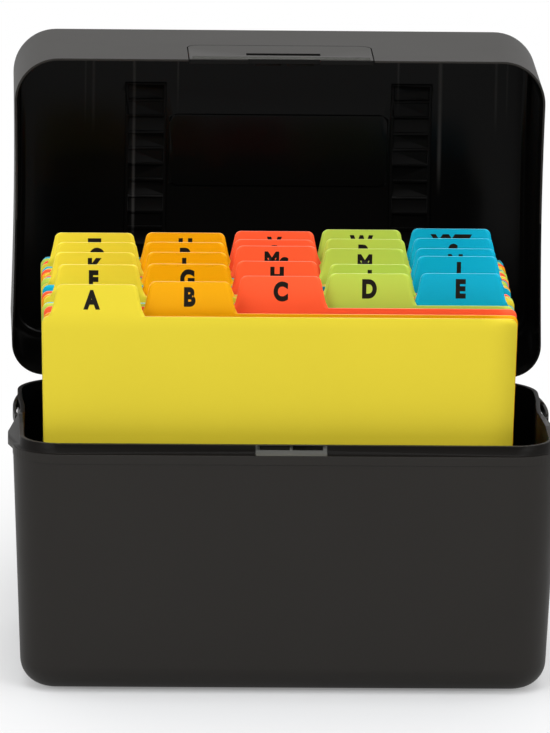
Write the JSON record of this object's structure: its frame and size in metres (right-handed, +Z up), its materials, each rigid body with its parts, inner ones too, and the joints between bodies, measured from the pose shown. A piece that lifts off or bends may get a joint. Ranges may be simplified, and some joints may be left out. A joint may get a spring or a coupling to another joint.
{
  "type": "index card box",
  "caption": "Dark plastic index card box with a hinged flip-top lid, front latch and coloured alphabet tab dividers standing inside, shown open.",
  "frame": {"origin": "centre of the tray's flat underside", "axes": "+Z up, the box's width along X, its front with the latch at -Y and its hinge at +Y, lid open"},
  "size_m": [0.1786, 0.1631, 0.1878],
  "materials": {
    "black_plastic": "satin outside, glossy inside the lid",
    "pin_steel": "plain",
    "yellow_poly": "smooth sheet",
    "orange_poly": "smooth sheet",
    "coral_poly": "smooth sheet",
    "lime_poly": "smooth sheet",
    "cyan_poly": "smooth sheet"
  },
  "bodies": {
    "box": {"tray": "black_plastic", "hinge_pin_left": "pin_steel", "hinge_pin_right": "pin_steel"},
    "lid": {"lid": "black_plastic"},
    "latch": {"latch_flap": "black_plastic"},
    "divider_a": {"divider_a": "yellow_poly"},
    "divider_b": {"divider_b": "orange_poly"},
    "divider_c": {"divider_c": "coral_poly"},
    "divider_d": {"divider_d": "lime_poly"},
    "divider_e": {"divider_e": "cyan_poly"},
    "divider_f": {"divider_f": "yellow_poly"},
    "divider_g": {"divider_g": "orange_poly"},
    "divider_h": {"divider_h": "coral_poly"},
    "divider_i": {"divider_i": "lime_poly"},
    "divider_j": {"divider_j": "cyan_poly"},
    "divider_k": {"divider_k": "yellow_poly"},
    "divider_l": {"divider_l": "orange_poly"},
    "divider_mc": {"divider_mc": "coral_poly"},
    "divider_m": {"divider_m": "lime_poly"},
    "divider_n": {"divider_n": "cyan_poly"},
    "divider_o": {"divider_o": "yellow_poly"},
    "divider_p": {"divider_p": "orange_poly"},
    "divider_q": {"divider_q": "coral_poly"},
    "divider_r": {"divider_r": "lime_poly"},
    "divider_s": {"divider_s": "cyan_poly"},
    "divider_t": {"divider_t": "yellow_poly"},
    "divider_u": {"divider_u": "orange_poly"},
    "divider_v": {"divider_v": "coral_poly"},
    "divider_w": {"divider_w": "lime_poly"},
    "divider_xyz": {"divider_xyz": "cyan_poly"}
  },
  "joints": [
    {"name": "lid_hinge", "type": "hinge", "parent": "box", "child": "lid", "pos_m": [0, 0.0535, 0.0804], "axis": [-1, 0, 0], "range_deg": [-90.4, 0]},
    {"name": "latch_flex", "type": "hinge", "parent": "lid", "child": "latch", "pos_m": [0.0002, 0.07864, 0.18613], "axis": [-1, 0, 0], "range_deg": [-1.2, 4], "stiffness_Nm_per_rad": 0.5},
    {"name": "divider_a_lift", "type": "slide", "parent": "box", "child": "divider_a", "axis": [0, 0.0502, 0.9987], "range_m": [0, 0.085]},
    {"name": "divider_b_lift", "type": "slide", "parent": "box", "child": "divider_b", "axis": [0, 0.0502, 0.9987], "range_m": [0, 0.085]},
    {"name": "divider_c_lift", "type": "slide", "parent": "box", "child": "divider_c", "axis": [0, 0.0502, 0.9987], "range_m": [0, 0.085]},
    {"name": "divider_d_lift", "type": "slide", "parent": "box", "child": "divider_d", "axis": [0, 0.0502, 0.9987], "range_m": [0, 0.085]},
    {"name": "divider_e_lift", "type": "slide", "parent": "box", "child": "divider_e", "axis": [0, 0.0502, 0.9987], "range_m": [0, 0.085]},
    {"name": "divider_f_lift", "type": "slide", "parent": "box", "child": "divider_f", "axis": [0, 0.0502, 0.9987], "range_m": [0, 0.085]},
    {"name": "divider_g_lift", "type": "slide", "parent": "box", "child": "divider_g", "axis": [0, 0.0502, 0.9987], "range_m": [0, 0.085]},
    {"name": "divider_h_lift", "type": "slide", "parent": "box", "child": "divider_h", "axis": [0, 0.0502, 0.9987], "range_m": [0, 0.085]},
    {"name": "divider_i_lift", "type": "slide", "parent": "box", "child": "divider_i", "axis": [0, 0.0502, 0.9987], "range_m": [0, 0.085]},
    {"name": "divider_j_lift", "type": "slide", "parent": "box", "child": "divider_j", "axis": [0, 0.0502, 0.9987], "range_m": [0, 0.085]},
    {"name": "divider_k_lift", "type": "slide", "parent": "box", "child": "divider_k", "axis": [0, 0.0502, 0.9987], "range_m": [0, 0.085]},
    {"name": "divider_l_lift", "type": "slide", "parent": "box", "child": "divider_l", "axis": [0, 0.0502, 0.9987], "range_m": [0, 0.085]},
    {"name": "divider_mc_lift", "type": "slide", "parent": "box", "child": "divider_mc", "axis": [0, 0.0502, 0.9987], "range_m": [0, 0.085]},
    {"name": "divider_m_lift", "type": "slide", "parent": "box", "child": "divider_m", "axis": [0, 0.0502, 0.9987], "range_m": [0, 0.085]},
    {"name": "divider_n_lift", "type": "slide", "parent": "box", "child": "divider_n", "axis": [0, 0.0502, 0.9987], "range_m": [0, 0.085]},
    {"name": "divider_o_lift", "type": "slide", "parent": "box", "child": "divider_o", "axis": [0, 0.0502, 0.9987], "range_m": [0, 0.085]},
    {"name": "divider_p_lift", "type": "slide", "parent": "box", "child": "divider_p", "axis": [0, 0.0502, 0.9987], "range_m": [0, 0.085]},
    {"name": "divider_q_lift", "type": "slide", "parent": "box", "child": "divider_q", "axis": [0, 0.0502, 0.9987], "range_m": [0, 0.085]},
    {"name": "divider_r_lift", "type": "slide", "parent": "box", "child": "divider_r", "axis": [0, 0.0502, 0.9987], "range_m": [0, 0.085]},
    {"name": "divider_s_lift", "type": "slide", "parent": "box", "child": "divider_s", "axis": [0, 0.0502, 0.9987], "range_m": [0, 0.085]},
    {"name": "divider_t_lift", "type": "slide", "parent": "box", "child": "divider_t", "axis": [0, 0.0502, 0.9987], "range_m": [0, 0.085]},
    {"name": "divider_u_lift", "type": "slide", "parent": "box", "child": "divider_u", "axis": [0, 0.0502, 0.9987], "range_m": [0, 0.085]},
    {"name": "divider_v_lift", "type": "slide", "parent": "box", "child": "divider_v", "axis": [0, 0.0502, 0.9987], "range_m": [0, 0.085]},
    {"name": "divider_w_lift", "type": "slide", "parent": "box", "child": "divider_w", "axis": [0, 0.0502, 0.9987], "range_m": [0, 0.085]},
    {"name": "divider_xyz_lift", "type": "slide", "parent": "box", "child": "divider_xyz", "axis": [0, 0.0502, 0.9987], "range_m": [0, 0.085]}
  ]
}
